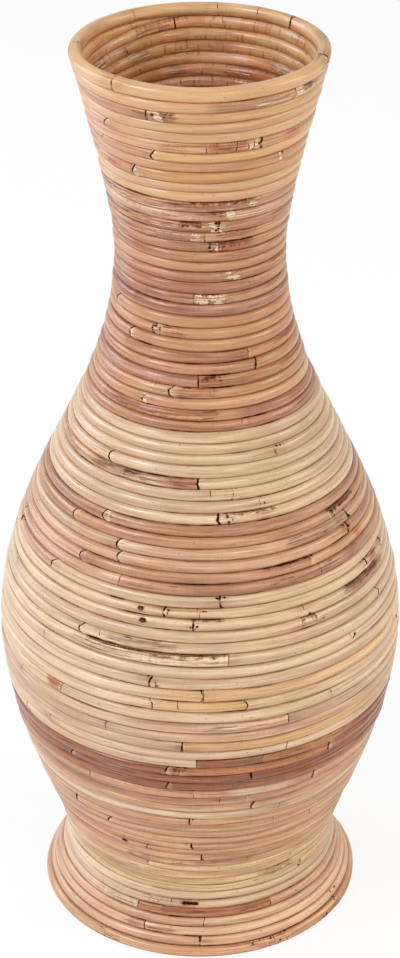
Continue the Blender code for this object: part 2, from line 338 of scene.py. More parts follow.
# %% Shades along the spiral
LENGTHS = (
    (0, -180, "honey"), (0, 5, "rose"), (0, 47, "pale"), (0, 53, "honey"), (1, -167, "honey"),
    (1, -120, "rosy_honey"), (1, -25, "gold"), (1, 130, "honey"), (2, 160, "rosy_honey"),
    (2, 200, "honey"), (3, 120, "fawn"), (4, 24, "pale"), (4, 30, "rosy_honey"), (5, -25, "gold"),
    (5, 130, "rosy_honey"), (6, 130, "rosy_honey"), (7, -38, "ochre"), (8, -150, "honey"),
    (9, 150, "mottled"), (10, 33, "rosy_honey"), (11, -140, "pink_tan"), (11, 4, "russet"),
    (11, 19, "pink_tan"), (11, 130, "mottled"), (12, 10, "rose"), (13, 3, "rosy_honey"),
    (13, 120, "rose"), (14, 7, "russet"), (14, 39, "rose"), (16, -150, "rosy_honey"), (16, 150, "rose"),
    (18, 150, "deep_rose"), (19, -4, "rosy_honey"), (19, 26, "rose"), (19, 110, "deep_rose"),
    (20, 160, "rosy_honey"), (22, -31, "rosy_honey"), (22, 140, "rose"), (23, -48, "rosy_honey"),
    (23, 130, "rose"), (24, 30, "russet"), (24, 130, "rose"), (25, 34, "rosy_honey"),
    (25, 120, "deep_rose"), (26, -1, "russet"), (26, 130, "tan"), (27, -13, "rosy_honey"),
    (27, 120, "fawn"), (28, 150, "rosy_honey"), (29, 21, "deep_rose"), (30, -150, "rose"),
    (30, 22, "deep_rose"), (30, 170, "straw"), (34, 130, "mottled"), (35, -62, "pink_tan"),
    (35, -50, "rose"), (35, -44, "peach"), (35, -14, "dusty_rose"), (35, -1, "straw"),
    (38, 150, "deep_rose"), (39, -37, "dusty_rose"), (40, 53, "rose"), (40, 140, "peach"),
    (41, 60, "pink_tan"), (42, -28, "pink_tan"), (42, 58, "dusty_rose"), (42, 140, "pink_tan"),
    (43, -42, "dusty_rose"), (43, 38, "tan"), (43, 150, "pink_tan"), (44, -26, "dusty_rose"),
    (44, 150, "pink_tan"), (45, -53, "straw"), (47, 51, "dusty_rose"), (47, 72, "straw"),
    (49, 120, "ash"), (50, 8, "straw"), (53, -10, "gold_straw"), (53, 120, "straw"),
    (54, -13, "gold_straw"), (54, 2, "gold"), (54, 13, "straw"), (55, 130, "peach"), (58, -5, "gold"),
    (58, 110, "straw"), (60, -1, "umber"), (60, 18, "brown"), (60, 48, "umber"), (61, -7, "brown"),
    (61, 40, "umber"), (63, 150, "dusty_rose"), (64, 10, "straw"), (64, 29, "tan"),
    (65, -150, "dusty_rose"), (65, 150, "tan"), (66, 150, "straw"), (67, 110, "tan"),
    (70, -150, "pink_tan"), (71, -20, "tan"), (72, -150, "tan"), (73, -20, "tan"), (75, -150, "pink_tan"),
    (76, -21, "khaki"), (80, -150, "straw"), (82, -26, "russet"), (82, 30, "pink_tan"),
    (83, 1.5, "peach"), (84, -180, "blush"), (85, -180, "peach"), (85, 0, "blush"),
    (85, 170, "dusty_rose"),
)
MOTTLING = {
    "lip": 0.05, "honey": 0.1, "gold": 0.1, "pale": 0.1, "ochre": 0.12, "rosy_honey": 0.15, "blush": 0.22,
    "gold_straw": 0.25, "peach": 0.28, "pink_tan": 0.35, "tan": 0.4, "dusty_rose": 0.42, "khaki": 0.45,
    "ash": 0.5, "deep_rose": 0.5, "rose": 0.5, "russet": 0.6, "brown": 0.9, "umber": 0.9, "mottled": 1.0,
}
PLAIN_MOTTLING = 0.22

length_turns = np.array([turn_of(row, angle) for row, angle, _ in LENGTHS])
length_names = [name for _, _, name in LENGTHS]
print(len(LENGTHS), "changes of shade")

# %% [markdown]
# Marks. A rattan cane has a ring every hand's width where a leaf sheath grew. On the vase these rings
# show as thin dark lines, as curved scars with a painted highlight on the knuckle beside them, or as dark
# knots, and they look much like the true butted joints of two lengths. The list names those of the front;
# on the back they fall at random, 13 to 25 cm apart, and the few rows that show inside the mouth have
# only faint ones.

# %% Marks on the canes
MARKS = {
    "gap": (
        (1, -167), (1, -25), (25, 34), (58, -5), (60, -61), (62, 15), (68, -3.5), (69, -46), (72, -3),
        (73, -20), (74, 0.5), (85, 0),
    ),
    "split": ((14, 6), (38, 6.5), (46, -11)),
    "butt": (
        (0, 47), (26, -1), (44, -26), (44, 41), (50, 8), (55, -42), (55, 39), (56, 25), (57, -27),
        (59, -48), (59, 25), (65, 6), (67, 26), (82, -26), (83, 1.5), (84, -22),
    ),
    "scar": (
        (3, -52), (5, -25), (7, -38), (21, -67), (22, -31), (23, -48), (27, -17), (34, -42), (39, -37),
        (40, -50), (41, -29), (42, -28), (43, -42), (45, -53), (49, -37), (61, -10), (61, 40), (62, -41),
        (63, -10), (64, 36), (66, 16), (70, -33),
    ),
    "bud": ((49, 65), (53, 1), (54, -13), (54, 13)),
    "knot": (
        (4, 31), (12, 11), (35, -2), (40, 53), (41, 60), (42, 58), (45, 6), (46, 62), (47, -2), (52, -14),
        (62, 15.5),
    ),
    "dots": (
        (6, 44), (22, -26), (28, -31), (33, 35), (36, 13), (37, 23), (38, 10), (43, 38), (46, 0),
        (47, 32), (48, 31), (48, 36), (49, -30), (51, 48), (61, -6), (64, -2), (65, 14), (79, 47),
        (85, 62), (86, 52),
    ),
    "line": (
        (4, 3), (4, 8), (4, 18), (4, 24), (5, -58), (14, 12), (30, 21), (36, 4), (48, -53), (51, -50),
        (54, -6), (56, -61), (60, 18), (63, 59), (64, -35), (65, -60), (66, -44), (67, -52), (69, 25),
        (70, 41), (71, -20), (73, -50), (76, -21), (77, 40), (81, -12), (82, 30),
    ),
    "hole": ((46, -18), (47, -17), (73, -29), (81, -6.4), (81, -4.9), (81, -3.4), (81, -1.9)),
}
NODE_SPACING = (0.13, 0.25)
BACK_KINDS = ["line", "line", "scar", "knot", "butt", "gap"]
FRONT_ANGLE = 72
MOUTH_ROWS = 7
FREE_OF_MARKS = 0.2

draw = np.random.default_rng(11)
marks = [(turn_of(row, angle), kind) for kind, places in MARKS.items() for row, angle in places]
turn = FREE_OF_MARKS
while turn < ROWS - FREE_OF_MARKS:
    turn += draw.uniform(*NODE_SPACING) / girth_at(turn)
    kind = draw.choice(BACK_KINDS)
    from_front = abs((turn % 1) - 0.5) * 360
    if from_front > FRONT_ANGLE:
        marks.append((turn, "line" if turn < MOUTH_ROWS else str(kind)))
marks.sort()
mark_turns = np.array([turn for turn, _ in marks])
print(len(marks), "rings, scars and joints on the wall")

# %% [markdown]
# Torn fibres and dark stains. Where a length was pulled hard round the narrow neck, its skin tore and the
# pale fibres show. In other places the skin is stained, worn through, still covered with bark or darker
# along its upper side. Each patch is a row and the two angles between which it lies.

# %% Torn and stained places
TORN = (
    (0, 48, 53), (1, -22, -16), (6, 44, 47), (7, -37, -34), (10, 28, 37), (11, 14, 23), (12, 4, 15),
    (13, -6, 3), (14, 9, 13), (17, 17, 22), (17, 21, 27), (19, -4, 6), (19, 4, 20), (22, -32, -29),
    (23, -47, -45), (27, -28, -25), (28, -32, -29), (39, -36, -33), (40, 50, 53), (46, 60, 63),
    (78, 34, 40), (81, -24, -15), (10, -120, -112), (18, 140, 150), (33, -150, -145), (60, 120, 126),
)
WORN = (
    (10, -64, 30), (11, -64, 2), (12, -40, 3), (13, -60, -2), (13, 8, 30), (19, 0, 30), (17, 8, 34),
    (35, -36, -20), (78, 20, 45), (0, 24, 46), (11, 22, 50), (56, 0, 16),
)
WORN_INSIDE = (
    (1, -165, -143), (3, -152, -136), (4, 148, 166), (2, -120, -104), (3, 120, 140), (5, -172, -160),
)
STAINS = (
    (0, 54, 66), (1, -21, -11), (10, -60, 34), (11, -5, 18), (12, -60, 14), (13, 8, 40), (14, 2, 20),
    (13, -60, -5), (19, 2, 14), (22, -30, -8), (26, -1, 16), (27, -13, 12), (35, -50, 0), (38, 7, 28),
    (46, 58, 72), (47, 48, 75), (49, -30, -6), (50, -40, 8), (56, 12, 26), (61, -10, -3), (62, -45, 20),
    (41, 30, 60), (72, -8, 0), (78, 26, 42), (81, -9, 0), (82, -26, 30), (35, 140, 175), (50, 110, 140),
    (20, -140, -100), (4, -20, 24), (7, -60, -45), (29, -60, 10), (44, 20, 60), (63, -30, 30),
    (75, -30, 20), (84, -30, -10), (82, -54, -27),
)
BARK = (
    (4, 2, 24), (7, -60, -46), (14, 7, 34), (55, -48, -42), (4, 44, 58), (42, 54, 61), (43, 60, 66),
    (46, 64, 70),
)
DARK_TOPS = (
    (35, -34, -24), (26, 0, 14), (38, 8, 30), (43, 20, 39), (47, -3, 8), (47, 48, 70), (48, 30, 37),
    (50, -35, 8), (14, 8, 37), (10, -8, 36), (11, 4, 16), (12, -14, 3), (86, -1, 30), (19, -2, 13),
    (0, 52, 60), (1, -20, -10), (61, -9, -3), (40, 50, 70), (27, -13, -2), (12, 8, 14), (78, 26, 42),
)
PATCHES = {
    "torn": TORN,
    "worn": WORN,
    "worn_inside": WORN_INSIDE,
    "stains": STAINS,
    "bark": BARK,
    "sooty": DARK_TOPS,
}
print({kind: len(places) for kind, places in PATCHES.items()}, "patches")

# %% [markdown]
# Bending a cane. A curve with a round bevel is the natural tool for a bent rod: its points follow the
# spiral, and each point has its own radius. Turned into a mesh, it is a row of rings, which makes it easy
# to shape further. Rings lie close together at each mark, so that a cut half a millimetre wide is true
# geometry and not only paint.

# %% Bend a cane
SIDES = 24
RINGS_PER_TURN = 240
NEAR_MARK = np.arange(-0.0039, 0.00391, 0.0003)
NEAR_PATCH = 0.0007
LEAST_RING_GAP = 0.00012


def ring_turns(start, end, girth, cane_marks, patches):
    """The turns at which a cane gets its rings."""
    turns = [np.linspace(start, end, int((end - start) * RINGS_PER_TURN) + 2)]
    for turn, _ in cane_marks:
        turns.append(turn + NEAR_MARK / girth)
    for kind, first, last in patches:
        if kind in ("torn", "bark"):
            turns.append(np.arange(first, last, NEAR_PATCH / girth))
    turns = np.unique(np.concatenate(turns).clip(start, end))
    keep = np.diff(turns, prepend=turns[0] - 1) * girth > LEAST_RING_GAP
    keep[-1] = True
    return turns[keep]


def bent_rods(name, rods, sides):
    """Round rods along their places, as one mesh of rings. A rod is its places, radii and leans."""
    curve = bpy.data.curves.new(name, "CURVE")
    curve.dimensions = "3D"
    curve.twist_mode = "Z_UP"
    curve.bevel_depth = 1.0
    curve.bevel_resolution = (sides - 4) // 2
    for places, radii, leans in rods:
        spline = curve.splines.new("POLY")
        spline.points.add(len(places) - 1)
        spline.points.foreach_set("co", np.c_[places, np.ones(len(places))].ravel())
        spline.points.foreach_set("radius", radii)
        spline.points.foreach_set("tilt", leans)
    holder = bpy.data.objects.new(name, curve)
    scene.collection.objects.link(holder)
    bpy.context.view_layer.update()
    bent = holder.evaluated_get(bpy.context.evaluated_depsgraph_get())
    mesh = bpy.data.meshes.new_from_object(bent)
    bpy.data.objects.remove(holder)
    return mesh


def close_ends(mesh, chamfer):
    """Close the ends of the rods with a face, and take off their sharp edge."""
    shape = bmesh.new()
    shape.from_mesh(mesh)
    rims = [edge for edge in shape.edges if edge.is_boundary]
    bmesh.ops.holes_fill(shape, edges=rims, sides=0)
    if chamfer:
        bmesh.ops.bevel(
            shape, geom=rims, offset=chamfer, segments=2, profile=0.5, affect="EDGES", material=-1
        )
    bmesh.ops.recalc_face_normals(shape, faces=shape.faces)
    shape.to_mesh(mesh)
    shape.free()
    mesh.shade_smooth()


print("a cane has", SIDES, "sides and at least", RINGS_PER_TURN, "rings to the turn")

# %% [markdown]
# Cutting the marks. Every vertex knows how far along its cane it is and which way round it faces. From
# these two numbers come the cut, the swelling and the darkness of a mark. No two rings on a real cane are
# alike, so each one slants, bows and breaks off by a random amount, and has dark specks beside it.

# %% Marks as shape
CUTS = {
    # depth, half width, darkness, cover, swelling, bow, painted highlight on the knuckle, specks
    "gap": (0.00070, 0.00046, 1.0, 1.15, 0.00010, 0.0003, 0.15, 1),
    "split": (0.00095, 0.00065, 1.0, 1.2, 0.00010, 0.0010, 0.15, 2),
    "butt": (0.00040, 0.00025, 0.85, 0.85, 0.00008, 0.0001, 0.15, 0),
    "line": (0.00022, 0.00028, 0.85, 0.60, 0.00010, 0.0003, 0.15, 0),
    "scar": (0.00055, 0.00058, 1.0, 1.20, 0.00040, 0.0030, 0.65, 0),
    "bud": (0.00045, 0.00042, 1.0, 1.00, 0.00030, -0.0026, 0.30, 0),
    "knot": (0.00055, 0.00070, 1.0, 0.85, 0.00024, 0.0007, 0.35, 4),
    "dots": (0.00010, 0.00025, 0.8, 0.45, 0.00015, 0.0003, 0.25, 3),
    "hole": (0.0, 0.00030, 0.0, 0.0, 0.00010, 0.0, 0.0, 0),
    "end": (0.00018, 0.00020, 0.70, 0.55, 0.0, 0.0, 0.10, 0),
}
SLANT = 0.0006
RAGGED = 0.00022
BROKEN = 0.55
SWELL_SHIFT = 0.0012
SWELL_REACH = 0.0028
KNUCKLE = 0.0032
SPECK_SHIFT = (-0.003, 0.005)
SPECK_FACING = (-1.25, 1.25)
SPECK_LENGTH = (0.0003, 0.0011)
SPECK_SPREAD = (0.16, 0.28)
SPECK_DARKNESS = 0.9
SPECK_DEPTH = 0.0003
PIT_LENGTH = 0.0023
PIT_SPREAD = 0.45
PIT_FACING = 0.2
PIT_DEPTH = 0.0008


def cut_mark(away, facing, kind, seed):
    """Rise, darkness and painted knuckle highlight that one mark gives to points so far along from it."""
    depth, width, dark, cover, swell, bow, pale, specks = CUTS[kind]
    draw = np.random.default_rng(seed)
    round_about = facing / math.tau
    shift = SLANT * draw.uniform(-1, 1) * np.sin(facing) + bow * np.sin(facing) ** 2
    from_line = away - shift - RAGGED * waves(round_about, seed, 4, 0.5)
    line = np.exp(-((from_line / width) ** 2))
    black = dark * line * np.clip(cover + BROKEN * waves(round_about, seed + 1, 3, 0.7), 0, 1)
    rise = swell * np.exp(-(((from_line - SWELL_SHIFT) / SWELL_REACH) ** 2)) - depth * line
    for _ in range(specks):
        along, across = draw.uniform(*SPECK_SHIFT), draw.uniform(*SPECK_FACING)
        length, spread = draw.uniform(*SPECK_LENGTH), draw.uniform(*SPECK_SPREAD)
        speck = np.exp(-(((away - along) / length) ** 2) - ((facing - across) / spread) ** 2)
        black = np.maximum(black, SPECK_DARKNESS * speck)
        rise = rise - SPECK_DEPTH * speck
    if kind == "hole":
        # Painted shade: a hole is only a shallow dent, and its black stands for the shade inside it.
        pit = np.exp(-((away / PIT_LENGTH) ** 2) - ((facing - PIT_FACING) / PIT_SPREAD) ** 2)
        black = np.maximum(black, pit)
        rise = rise - PIT_DEPTH * pit
    # Painted highlight: the knuckle beside a mark is paled as light on its rounded end.
    knuckle_highlight = pale * np.exp(-((np.maximum(from_line, 0) / KNUCKLE) ** 2)) * (from_line > 0)
    return rise, black, knuckle_highlight


print(len(CUTS), "kinds of mark")

# %% [markdown]
# Patches have no sharp outline. Torn skin thins out over several millimetres along the cane and runs
# slanting round it; a stain ends sooner. The cover of a patch is 1 in its middle and 0 outside, and waves
# along its edge make it ragged.

# %% Patches as shape
LONG_FADE = 0.0060
SHORT_FADE = 0.0022
LONGEST_FADE = 0.7
PATCH_FACING = {"worn_inside": math.pi, "sooty": 1.3}
PATCH_SLANT = {"torn": 0.7}
PATCH_TURN = (-0.4, 0.5)
PATCH_TAPER = 0.4
PATCH_LIMIT = 0.4
PATCH_STEEPNESS = 3.2


def patch_cover(along, facing, kind, first, last, seed):
    """How far inside a ragged patch each point is, from 0 to 1. A slanting patch narrows at both ends."""
    middle, half = (first + last) / 2, (last - first) / 2
    slant, share = PATCH_SLANT.get(kind, 0.0), (along - middle) / half
    fade = min(LONG_FADE, LONGEST_FADE * half) if kind in ("torn", "worn") else SHORT_FADE
    edge = 0.6 * fade * waves(facing / math.tau, seed, 5, 0.6)
    inside = (half - np.abs(along - middle) + edge) / fade
    turned = np.random.default_rng(seed).uniform(*PATCH_TURN)
    centre = PATCH_FACING.get(kind, 0.0) + turned - slant * share
    across = np.cos(facing - centre) + 0.22 * waves(along, seed + 2, 5, 0.009)
    across = across - PATCH_TAPER * slant * share**2
    return np.clip(inside, 0, 1) * np.clip((across - PATCH_LIMIT) * PATCH_STEEPNESS, 0, 1)


print("torn skin thins out over", LONG_FADE * 1000, "mm")

# %% [markdown]
# Short names for nodes. A finish is a net of small nodes, and placing them by hand takes many clicks.
# Here each output of a node is a value that can be added and multiplied like a number, so that the net
# can be written as sums. The noise is stretched before it is made, because wood has a grain.

# %% Helpers for the finishes
class Value:
    """An output of a node, to be used like a number."""

    def __init__(self, socket):
        self.socket = socket

    def __add__(self, other):
        return put("ShaderNodeMath", [(0, self), (1, other)], operation="ADD")

    def __sub__(self, other):
        return put("ShaderNodeMath", [(0, self), (1, other)], operation="SUBTRACT")

    def __mul__(self, other):
        return put("ShaderNodeMath", [(0, self), (1, other)], operation="MULTIPLY")

    def size(self):
        """This value without its sign."""
        return put("ShaderNodeMath", [(0, self)], operation="ABSOLUTE")

    def ramp(self, low, high, start=0.0, end=1.0):
        """A value that goes from start to end while this one goes from low to high."""
        return put("ShaderNodeMapRange", [(0, self), (1, low), (2, high), (3, start), (4, end)])


def put(kind, inputs=(), output=0, tree=None, **settings):
    """One output of a new node. Without a tree, it goes where its inputs are."""
    if not tree:
        tree = next(value.socket.id_data for _, value in inputs if isinstance(value, Value))
    node = tree.nodes.new(kind)
    for name, value in settings.items():
        setattr(node, name, value)
    for socket, value in inputs:
        if isinstance(value, Value):
            tree.links.new(value.socket, node.inputs[socket])
        else:
            node.inputs[socket].default_value = value
    return Value(node.outputs[output])


def feed(node, socket, value):
    """Link a value to an input of a node."""
    value.socket.id_data.links.new(value.socket, node.inputs[socket])


def mixed(amount, under, over, blend="MIX"):
    """One colour laid over another."""
    inputs = [(0, amount), (6, under), (7, over)]
    return put("ShaderNodeMix", inputs, 2, data_type="RGBA", blend_type=blend)


def tinted(amount, under, glaze):
    """A colour seen through a glaze of another."""
    return mixed(amount, under, glaze, "MULTIPLY")


def stretched_noise(place, scale, detail):
    """Noise with its own scale along each axis."""
    stretched = put("ShaderNodeMapping", [(0, place), (3, scale)])
    return put("ShaderNodeTexNoise", [(0, stretched), (2, 1.0), (3, detail)])


def new_finish(name):
    """A material, its nodes and its main shader."""
    material = bpy.data.materials.new(name)
    material.use_nodes = True
    return material, material.node_tree, material.node_tree.nodes["Principled BSDF"]


print("nodes of Blender", bpy.app.version_string)

# %% [markdown]
# The grain. Three attributes of a cane say what it looks like at each point: its tone, its marks, and its
# place on a cane that was never bent. Noise that is stretched along this straight cane gives hair-fine
# fibres, streaks, clouds of dirt and dark dashes, and noise that is stretched across it gives wrinkles.

# %% Grain of a cane
GRAIN = {
    # scale along the cane and across it, and detail
    "streaks": (13, 400, 4.0),
    "fibres": (45, 1500, 3.0),
    "clouds": (24, 160, 3.0),
    "drift": (6, 20, 2.0),
    "dashes": (70, 1100, 3.0),
    "edges": (30, 1000, 3.0),
    "wrinkles": (480, 70, 2.0),
    "ticks": (620, 110, 2.0),
    "blocks": (22, 4, 0.0),
    "crumbs": (900, 1500, 2.0),
    "specks": (420, 900, 1.0),
}


def grain_of(tree):
    """What the attributes of a cane and the noise along it say, by name."""
    grain = SimpleNamespace()
    grain.tone = put("ShaderNodeAttribute", tree=tree, attribute_name="tone")
    straight = put("ShaderNodeAttribute", tree=tree, output="Vector", attribute_name="grain")
    for name, (along, across, detail) in GRAIN.items():
        setattr(grain, name, stretched_noise(straight, (along, across, across), detail))
    flags = put("ShaderNodeAttribute", tree=tree, attribute_name="marks")
    channels = put("ShaderNodeSeparateColor", [(0, flags)]).socket.node.outputs
    grain.dark, grain.frayed, grain.mottled = [Value(channel) for channel in channels]
    grain.height = put("ShaderNodeSeparateXYZ", [(0, straight)], 2)
    outward = Value(flags.socket.node.outputs["Alpha"]) * 2.0 - 1.0
    grain.side = outward.size()
    grain.inner = outward.ramp(0.15, -0.5)
    return grain


print(len(GRAIN), "kinds of grain")

# %% [markdown]
# The skin. A peeled cane shows darker and lighter streaks, and its hue drifts slowly from warm to cool.
# Underneath it is darker and redder, partly its own colour and partly painted shade and a painted
# reflection of the cane below. Its inner side is brown in blocks, partly where the skin was scraped
# less and partly as painted shade of the dim inside of the vase.

# %% Colour of the skin
DARK_STREAK = (0.56, 0.40, 0.30, 1.0)
PALE_STREAK = (1.22, 1.24, 1.25, 1.0)
WARM_DRIFT = (1.03, 0.975, 0.955, 1.0)
COOL_DRIFT = (0.98, 1.025, 0.97, 1.0)
UNDERSIDE_TINT_AND_SHADE = (0.90, 0.82, 0.76, 1.0)
INNER_SKIN_AND_SHADE = (0.92, 0.75, 0.57, 1.0)


def skin_colour(grain):
    """The clean skin, with its streaks, its darker underside and its brown inner side, both partly painted
    shade.
    """
    lines = grain.streaks * 0.6 + grain.fibres * 0.4
    glaze = mixed(lines.ramp(0.42, 0.59), DARK_STREAK, PALE_STREAK)
    colour = tinted(grain.mottled.ramp(0.0, 0.6, 0.20, 0.95), grain.tone, glaze)
    hue = mixed(grain.drift.ramp(0.36, 0.64), WARM_DRIFT, COOL_DRIFT)
    colour = tinted(1.0, colour, hue)
    # Painted shade: the lower side of each cane is darkened and reddened, partly its own colour.
    below = grain.height.ramp(0.001, -0.0028) * grain.edges.ramp(0.35, 0.6, 0.3, 1.0)
    colour = tinted(below, colour, UNDERSIDE_TINT_AND_SHADE)
    # Painted shade: the inner side is browned in blocks, partly skin and partly the dim inside of the vase.
    return tinted(grain.inner * grain.blocks.ramp(0.49, 0.505, 0.05, 1.0), colour, INNER_SKIN_AND_SHADE)


print("dark streaks keep", DARK_STREAK[0], "of the red light")

# %% [markdown]
# Dirt, wear and painted shade. The grooves are darker and warmer, partly from dirt and partly as painted
# shade and a painted warm reflection of the next cane, and dirt gathers along their edges. Mottled canes
# have blotches and dark dashes, and specks and fine ticks lie everywhere. The inner side of a bend
# wrinkles, and pale flecks show there.

# %% Groove shade, dirt and dashes
GROOVE_SHADE_AND_DIRT = (0.68, 0.42, 0.22, 1.0)
EDGE_LINE = (0.16, 0.06, 0.020, 1.0)
BLOTCH = (0.24, 0.095, 0.036, 1.0)
DASH = (0.085, 0.030, 0.010, 1.0)
DASH_EDGE = 1 / 14
SPECK = (0.10, 0.036, 0.012, 1.0)
TICK = (0.45, 0.28, 0.16, 1.0)
CREASE = (0.10, 0.04, 0.018, 1.0)
FLECK = (0.72, 0.53, 0.33, 1.0)


def creases_of(grain):
    """Wrinkles of the inner side, where clouds let them show."""
    return grain.wrinkles.ramp(0.57, 0.65) * grain.clouds.ramp(0.45, 0.54) * grain.inner * 0.6


def soiled_colour(grain, colour, creases):
    """The skin with dirt and painted shade in the grooves, blotches, dashes, specks, ticks, wrinkles and
    flecks.
    """
    # Painted shade: the grooves between rows are darkened and warmed as shade and reflected cane colour,
    # mixed with dirt.
    groove = grain.side.ramp(0.38, 0.06) * grain.inner.ramp(0.0, 1.0, 1.0, 0.5)
    groove_shade_and_dirt = groove * grain.clouds.ramp(0.25, 0.6, 0.25, 0.8) * grain.mottled.ramp(0.08, 0.6, 0.05, 0.8)
    colour = tinted(groove_shade_and_dirt, colour, GROOVE_SHADE_AND_DIRT)
    edge = grain.side.ramp(0.72, 0.50) * grain.edges.ramp(0.56, 0.595)
    colour = mixed(edge * grain.mottled.ramp(0.05, 0.3, 0.1, 0.75), colour, EDGE_LINE)
    colour = mixed(grain.clouds.ramp(0.46, 0.64) * grain.mottled * 0.5, colour, BLOTCH)
    excess = grain.dashes - grain.mottled.ramp(0.0, 1.0, 0.73, 0.57)
    colour = mixed(excess.ramp(0.0, DASH_EDGE, 0.0, 0.8), colour, DASH)
    colour = mixed(grain.specks.ramp(0.74, 0.78, 0.0, 0.7), colour, SPECK)
    tick = grain.ticks.ramp(0.56, 0.66) * grain.mottled.ramp(0.1, 0.8, 0.02, 0.22)
    colour = mixed(creases, tinted(tick, colour, TICK), CREASE)
    return mixed(grain.dashes.ramp(0.60, 0.66) * grain.inner * 0.6, colour, FLECK)


print("dashes are", round(DASH[0] / BLOTCH[0], 2), "as light as blotches")

# %% [markdown]
# Torn and dark places. Where the skin is torn the fibres lie bare, brown at the root and pale at the tip,
# with a dark rim that is partly dark cracks and partly painted shadow under the lifted skin. The marks,
# and the painted shade along open grooves, are nearly black in the middle and brown at the edge, and
# noise crumbles their outline.

# %% Torn and dark places
FIBRE_ROOT = (0.32, 0.15, 0.065, 1.0)
FIBRE_TIP = (0.90, 0.68, 0.48, 1.0)
# The dark marks and the painted shade beside open grooves share these two colours.
MARK_AND_SHADE_EDGE = (0.50, 0.29, 0.15, 1.0)
MARK_AND_SHADE_CORE = (*linear((46, 19, 6)), 1.0)


def torn_colour(grain, colour, ragged, tear):
    """The skin, with bare fibres where it is torn, and a dark rim of cracks and painted shadow."""
    hair = mixed(grain.fibres.ramp(0.40, 0.56), FIBRE_ROOT, FIBRE_TIP)
    # Painted shadow: the dark rim round a tear is partly cracks and partly shade under the lifted skin.
    rim = ragged.ramp(0.38, 0.50) * ragged.ramp(0.60, 0.52)
    return mixed(rim * grain.frayed.ramp(0.3, 0.7), mixed(tear, colour, hair), SPECK)


def crumbled(grain):
    """The darkness of the marks and of the painted shade along open grooves, with a crumbled outline."""
    noise = (grain.edges - 0.5) * 1.3 + (grain.crumbs - 0.5)
    return noise * grain.dark.ramp(0.0, 0.2, 0.0, 0.55) + grain.dark


print("the middle of a scar is", [round(float(v), 3) for v in MARK_AND_SHADE_CORE[:3]])

# %% [markdown]
# The rattan finish puts these layers together. The skin holds silica, so it shines like a thin varnish,
# except in the grooves, where it is torn, and in the dark marks. Fibres and streaks give a fine relief.

# %% Rattan finish
COAT_SHARE = 0.35
COAT_ROUGHNESS = 0.14
RELIEF = 0.0004


def rattan_finish():
    """The finish that all canes share."""
    material, tree, shader = new_finish("rattan")
    grain = grain_of(tree)
    creases = creases_of(grain)
    ragged = (grain.edges - 0.5) * 1.5 + grain.frayed
    tear = ragged.ramp(0.52, 0.66)
    dark = crumbled(grain)
    black = dark.ramp(0.32, 0.62)
    colour = soiled_colour(grain, skin_colour(grain), creases)
    colour = torn_colour(grain, colour, ragged, tear)
    colour = tinted(dark.ramp(0.16, 0.46), colour, MARK_AND_SHADE_EDGE)
    feed(shader, "Base Color", mixed(black, colour, MARK_AND_SHADE_CORE))
    rough = grain.fibres.ramp(0.3, 0.7, 0.24, 0.40) + tear * 0.3
    rough = rough + grain.side.ramp(0.5, 0.1) * 0.3 + black * 0.4
    feed(shader, "Roughness", rough.ramp(0.0, 1.0))
    shine = black.ramp(0.0, 1.0, 0.56, 0.05) * tear.ramp(0.0, 1.0, 1.0, 0.4)
    shine = shine * grain.side.ramp(0.12, 0.50)
    feed(shader, "Specular IOR Level", shine)
    feed(shader, "Coat Weight", shine * COAT_SHARE)
    shader.inputs["Coat Roughness"].default_value = COAT_ROUGHNESS
    relief = grain.fibres * (tear * 1.4 + 0.4) + grain.streaks * 0.9 - creases
    feed(shader, "Normal", put("ShaderNodeBump", [(0, 0.5), (1, RELIEF), ("Height", relief)]))
    return material


rattan = rattan_finish()
print("rattan has", len(rattan.node_tree.nodes), "nodes")

# %% [markdown]
# Marks and patches change several things at a point of the cane: how far it is lifted, how dark, how
# frayed and how mottled it is, and its tone. These values are kept together under the name skin, one for
# each vertex.

# %% Marks and patches on a cane
SOILED = {
    "gap": 0.6, "split": 0.6, "butt": 0.5, "line": 0.4, "scar": 0.5, "bud": 0.4, "knot": 0.5,
    "dots": 0.5, "hole": 0.4, "end": 0.3,
}
SOIL_REACH = 0.011
TORN_ROUGHNESS = 0.00030
TORN_LIFT = 0.00010
WEAR = 0.50
DARK_TOP_AMOUNT = 0.40
BARK_COVER = 0.85
BARK_MOTTLING = 0.6
SEEDS_PER_CANE = 1000
FIRST_PATCH_SEED = 500


def add_marks(skin, cane_marks, turns, along, seed):
    """Cut and colour the marks of one cane."""
    for number, (turn, kind) in enumerate(cane_marks):
        at = np.interp(turn, turns, along)
        near = np.abs(along - at) < 3 * SOIL_REACH
        away = skin.far[near] - at
        mark_seed = seed * SEEDS_PER_CANE + number
        rise, black, knuckle_highlight = cut_mark(away, skin.facing[near], kind, mark_seed)
        skin.lift[near] += rise
        skin.dark[near] = np.maximum(skin.dark[near], black)
        # Painted highlight on the knuckle, laid into the tone.
        skin.tone[near] += (linear(SHADES["pale"]) - skin.tone[near]) * knuckle_highlight[..., None]
        soil = SOILED[kind] * np.exp(-((away / SOIL_REACH) ** 2))
        skin.mottled[near] = np.maximum(skin.mottled[near], soil)


